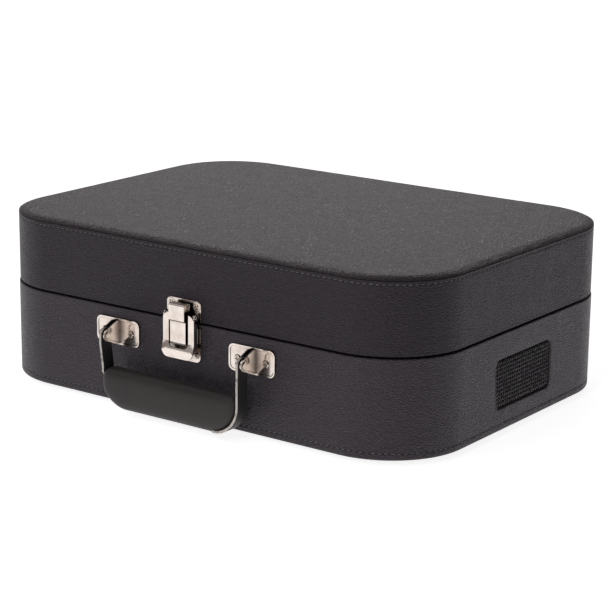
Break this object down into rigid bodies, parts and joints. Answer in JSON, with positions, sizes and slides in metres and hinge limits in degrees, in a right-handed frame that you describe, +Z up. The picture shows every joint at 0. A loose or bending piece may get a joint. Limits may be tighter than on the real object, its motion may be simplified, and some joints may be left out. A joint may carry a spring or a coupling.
{
  "type": "suitcase record player",
  "caption": "Closed suitcase turntable in black leatherette with a carrying handle, front latch, hinged lid, side speakers and a platter with tonearm inside.",
  "frame": {"origin": "on the ground under the middle of the bounding box", "axes": "+X to the right along the case's longest side, -Y towards the front with the latch and handle, +Z up"},
  "size_m": [0.35, 0.287, 0.119],
  "materials": {
    "board": "raw board",
    "leatherette": "black pebble-grain leatherette",
    "lid_cover": "padded black pebble-grain leatherette",
    "lining": "dark cloth",
    "foot_rubber": "matte",
    "screw": "plated",
    "deck": "fine matte",
    "speaker": "satin black",
    "grille_cloth": "woven cloth",
    "circuit_board": "solder mask",
    "wire": "insulated",
    "socket_plate": "satin black",
    "socket_metal": "plated",
    "steel": "turned",
    "nickel": "bright nickel plate",
    "belt": "matte",
    "pulley": "turned",
    "platter": "satin dark",
    "mat": "felt",
    "strap": "smooth leatherette, pale cut edge",
    "grip": "smooth padded leatherette",
    "arm_plastic": "satin black",
    "arm_metal": "satin",
    "weight": "satin black",
    "cartridge": "gloss red",
    "tip": "gloss white",
    "knob": "satin black",
    "slider": "satin grey"
  },
  "bodies": {
    "base": {"base_frame": "board", "base_leatherette": "leatherette", "bottom_panel": "board", "underside_screws": "screw", "rubber_feet": "foot_rubber", "deck_plate": "deck", "deck_screws": "screw", "left_speaker": "speaker", "right_speaker": "speaker", "left_grille": "grille_cloth", "right_grille": "grille_cloth", "circuit_board": "circuit_board", "wiring": "wire", "rear_socket_plate": "socket_plate", "audio_sockets": "socket_metal", "power_inlet": "socket_plate", "platter_spindle": "steel", "motor": "steel", "drive_belt": "belt", "latch_plate": "nickel", "latch_rivets": "nickel", "left_handle_bracket": "nickel", "right_handle_bracket": "nickel", "hardware_screws": "screw", "handle_rivets": "nickel", "tonearm_base": "arm_plastic", "arm_rest": "arm_plastic", "lift_housing": "arm_plastic", "hinge_base_leaves": "steel", "hinge_pins": "steel"},
    "platter": {"platter": "platter", "slip_mat": "mat"},
    "pulley": {"motor_pulley": "pulley"},
    "latch_lever": {"latch_lever": "nickel", "latch_hook_pin": "nickel"},
    "latch_hook": {"latch_hook": "nickel"},
    "handle": {"handle_strap": "strap", "handle_grip": "grip"},
    "arm_yoke": {"arm_yoke": "arm_plastic"},
    "tonearm": {"arm_tube": "arm_metal", "counterweight": "weight", "headshell": "arm_plastic", "cartridge": "cartridge", "stylus": "tip"},
    "arm_clip": {"arm_clip": "arm_plastic"},
    "cue_lever": {"cue_lever": "arm_plastic"},
    "lift": {"lift_platform": "arm_plastic"},
    "lid": {"lid_frame": "board", "lid_leatherette": "leatherette", "lid_top_cover": "lid_cover", "lid_lining": "lining", "hinge_lid_leaves": "steel", "latch_strike": "nickel", "lid_screws": "screw"},
    "volume": {"volume_knob": "knob"},
    "selector": {"speed_selector": "knob"},
    "auto_stop": {"auto_stop_switch": "slider"},
    "adapter": {"adapter_45": "knob"}
  },
  "joints": [
    {"name": "platter_spin", "type": "hinge", "parent": "base", "child": "platter", "pos_m": [-0.05, 0.002, 0.06], "axis": [0, 0, -1], "continuous": true},
    {"name": "pulley_spin", "type": "hinge", "parent": "base", "child": "pulley", "pos_m": [-0.11223, -0.06023, 0.06], "axis": [0, 0, -1], "continuous": true},
    {"name": "lid_open", "type": "hinge", "parent": "base", "child": "lid", "pos_m": [0, 0.1351, 0.0687], "axis": [-1, 0, 0], "range_deg": [0, 95]},
    {"name": "latch_open", "type": "hinge", "parent": "base", "child": "latch_lever", "pos_m": [0, -0.1275, 0.0728], "axis": [-1, 0, 0], "range_deg": [0, 90]},
    {"name": "latch_hook_turn", "type": "hinge", "parent": "latch_lever", "child": "latch_hook", "pos_m": [0, -0.1275, 0.056], "axis": [1, 0, 0], "range_deg": [0, 90]},
    {"name": "handle_swing", "type": "hinge", "parent": "base", "child": "handle", "pos_m": [0, -0.137, 0.0525], "axis": [-1, 0, 0], "range_deg": [0, 120]},
    {"name": "tonearm_turn", "type": "hinge", "parent": "base", "child": "arm_yoke", "pos_m": [0.118, 0.092, 0.07], "axis": [0, 0, -1], "range_deg": [0, 46]},
    {"name": "tonearm_lift", "type": "hinge", "parent": "arm_yoke", "child": "tonearm", "pos_m": [0.118, 0.092, 0.083], "axis": [-1, 0, 0], "range_deg": [0, 6.7]},
    {"name": "clip_turn", "type": "hinge", "parent": "base", "child": "arm_clip", "pos_m": [0.1258, -0.041, 0.0885], "axis": [0, 0, 1], "range_deg": [0, 90]},
    {"name": "cue_turn", "type": "hinge", "parent": "base", "child": "cue_lever", "pos_m": [0.14, 0.054, 0.066], "axis": [-1, 0, 0], "range_deg": [0, 60]},
    {"name": "lift_rise", "type": "slide", "parent": "base", "child": "lift", "axis": [0, 0, 1], "range_m": [0, 0.005]},
    {"name": "volume_turn", "type": "hinge", "parent": "base", "child": "volume", "pos_m": [0.084, -0.082, 0.06], "axis": [0, 0, -1], "range_deg": [0, 280]},
    {"name": "selector_turn", "type": "hinge", "parent": "base", "child": "selector", "pos_m": [0.096, 0.026, 0.06], "axis": [0, 0, -1], "range_deg": [0, 60]},
    {"name": "auto_stop_slide", "type": "slide", "parent": "base", "child": "auto_stop", "axis": [0, 1, 0], "range_m": [0, 0.008]},
    {"name": "adapter_lift", "type": "slide", "parent": "base", "child": "adapter", "axis": [0, 0, 1], "range_m": [0, 0.025]}
  ],
  "couplings": [
    {"joint": "pulley_spin", "follows": "platter_spin", "ratio": 17.786},
    {"joint": "latch_hook_turn", "follows": "latch_open", "ratio": 1},
    {"joint": "cue_turn", "follows": "lift_rise", "rad_per_m": 209.43},
    {"joint": "tonearm_lift", "follows": "lift_rise", "rad_per_m": 23.256}
  ]
}
